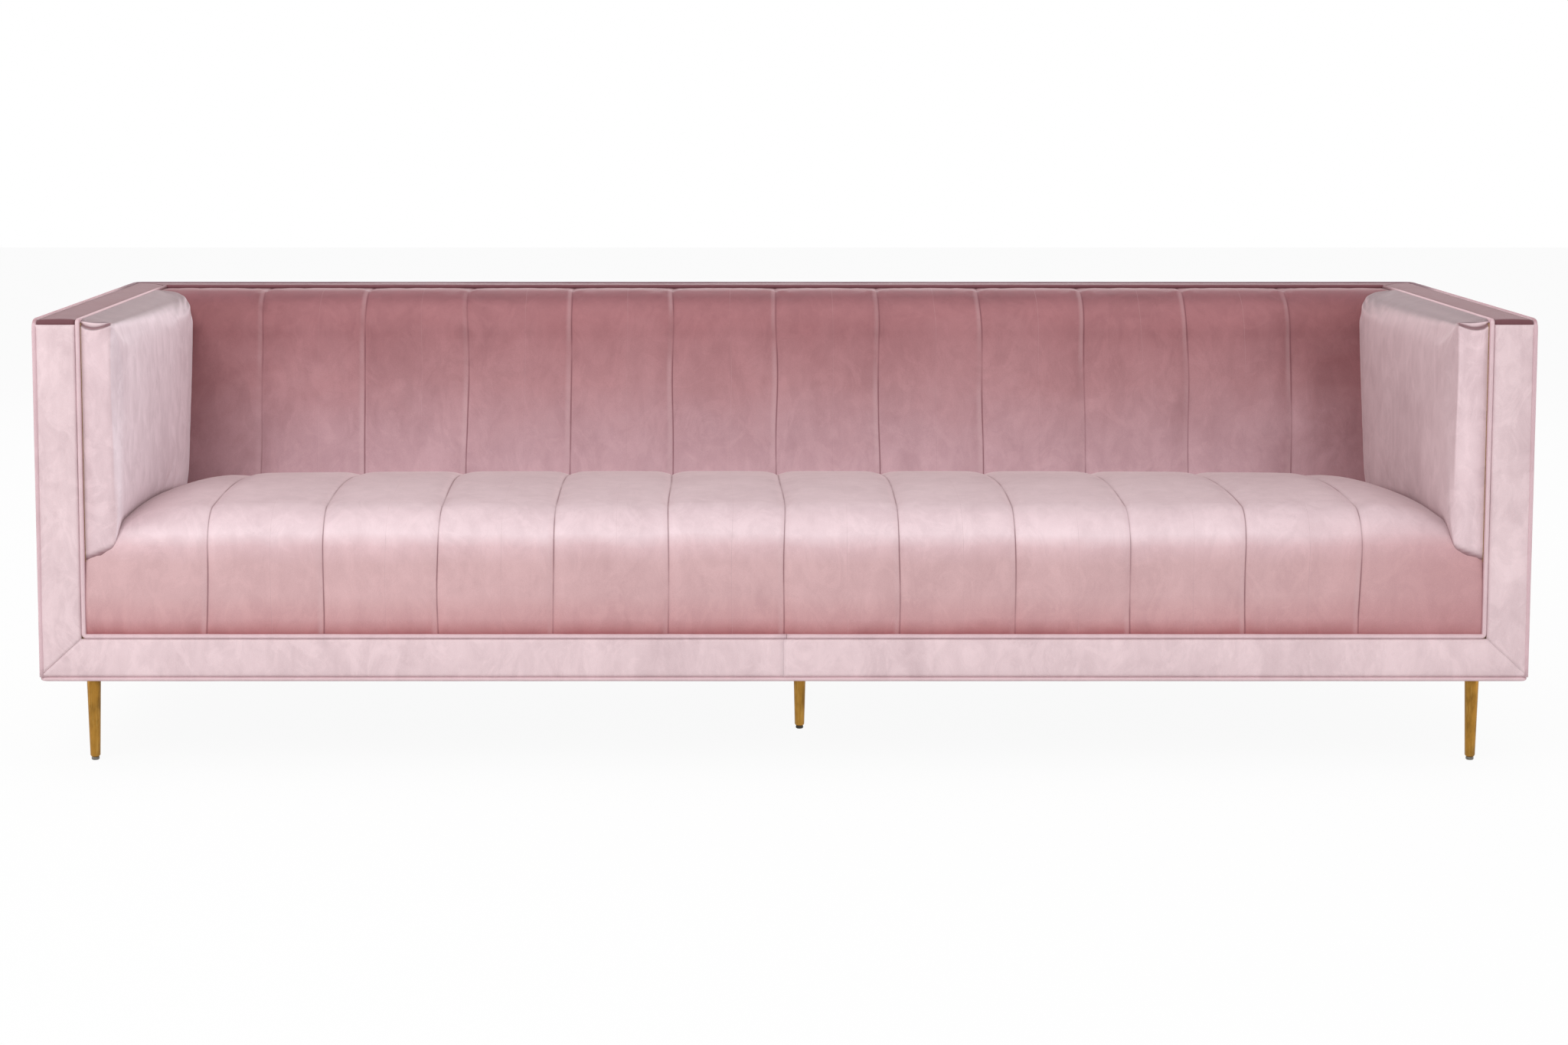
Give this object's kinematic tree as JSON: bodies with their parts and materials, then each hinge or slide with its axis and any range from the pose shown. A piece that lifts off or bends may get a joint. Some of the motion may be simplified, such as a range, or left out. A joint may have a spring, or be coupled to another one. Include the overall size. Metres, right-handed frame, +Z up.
{
  "type": "tuxedo sofa",
  "caption": "Long tuxedo sofa with arms as high as the back, tight channel-stitched seat and back, piped borders and slim tapered brass legs.",
  "frame": {"origin": "on the floor under the middle of the sofa", "axes": "+X along the sofa's length, to the right seen from the front; +Y from the front to the back; +Z up"},
  "size_m": [2.4398, 0.84, 0.74],
  "materials": {
    "velvet": "brushed velvet",
    "velvet_welt": "velvet piping",
    "foam": "cushion foam",
    "black_cloth": "non-woven",
    "grey_felt": "felt",
    "webbing": "woven elastic strap",
    "fibreboard": "matte",
    "spring_steel": "satin",
    "zinc_steel": "satin",
    "glide_plastic": "matte",
    "brass": "satin",
    "frame_timber": "matte"
  },
  "bodies": {
    "root": {"arm_foam_left": "foam", "arm_foam_right": "foam", "arm_front_border_left": "velvet", "arm_front_border_right": "velvet", "arm_front_post_left": "frame_timber", "arm_front_post_right": "frame_timber", "arm_pad_cover_left": "velvet", "arm_pad_cover_right": "velvet", "arm_rear_post_left": "frame_timber", "arm_rear_post_right": "frame_timber", "arm_tack_rail_left": "frame_timber", "arm_tack_rail_right": "frame_timber", "arm_top_border_left": "velvet", "arm_top_border_right": "velvet", "arm_top_rail_left": "frame_timber", "arm_top_rail_right": "frame_timber", "back_cover": "velvet", "back_foam": "foam", "back_ribs": "frame_timber", "back_spring_rail": "frame_timber", "back_tack_rail": "frame_timber", "back_top_border": "velvet", "back_top_rail": "frame_timber", "back_webbing": "webbing", "base_border_left": "velvet", "base_border_right": "velvet", "bottom_welt": "velvet_welt", "dust_cover": "black_cloth", "front_border_rail": "frame_timber", "front_spring_rail": "frame_timber", "inner_welt": "velvet_welt", "inside_arm_board_left": "fibreboard", "inside_arm_board_right": "fibreboard", "leg_blocks": "frame_timber", "leg_bolts": "zinc_steel", "leg_center": "brass", "leg_front_left": "brass", "leg_front_right": "brass", "leg_glides": "glide_plastic", "leg_plates": "zinc_steel", "leg_rear_left": "brass", "leg_rear_right": "brass", "outer_welt": "velvet_welt", "outside_arm_board_left": "fibreboard", "outside_arm_board_right": "fibreboard", "outside_arm_cover_left": "velvet", "outside_arm_cover_right": "velvet", "outside_back_board": "fibreboard", "outside_back_cover": "velvet", "plate_screws": "zinc_steel", "seat_cover": "velvet", "seat_felt": "grey_felt", "seat_foam": "foam", "seat_springs": "spring_steel", "seat_stretcher_center": "frame_timber", "seat_stretcher_left": "frame_timber", "seat_stretcher_right": "frame_timber", "side_rail_left": "frame_timber", "side_rail_right": "frame_timber", "spring_clips": "zinc_steel"}
  },
  "joints": []
}
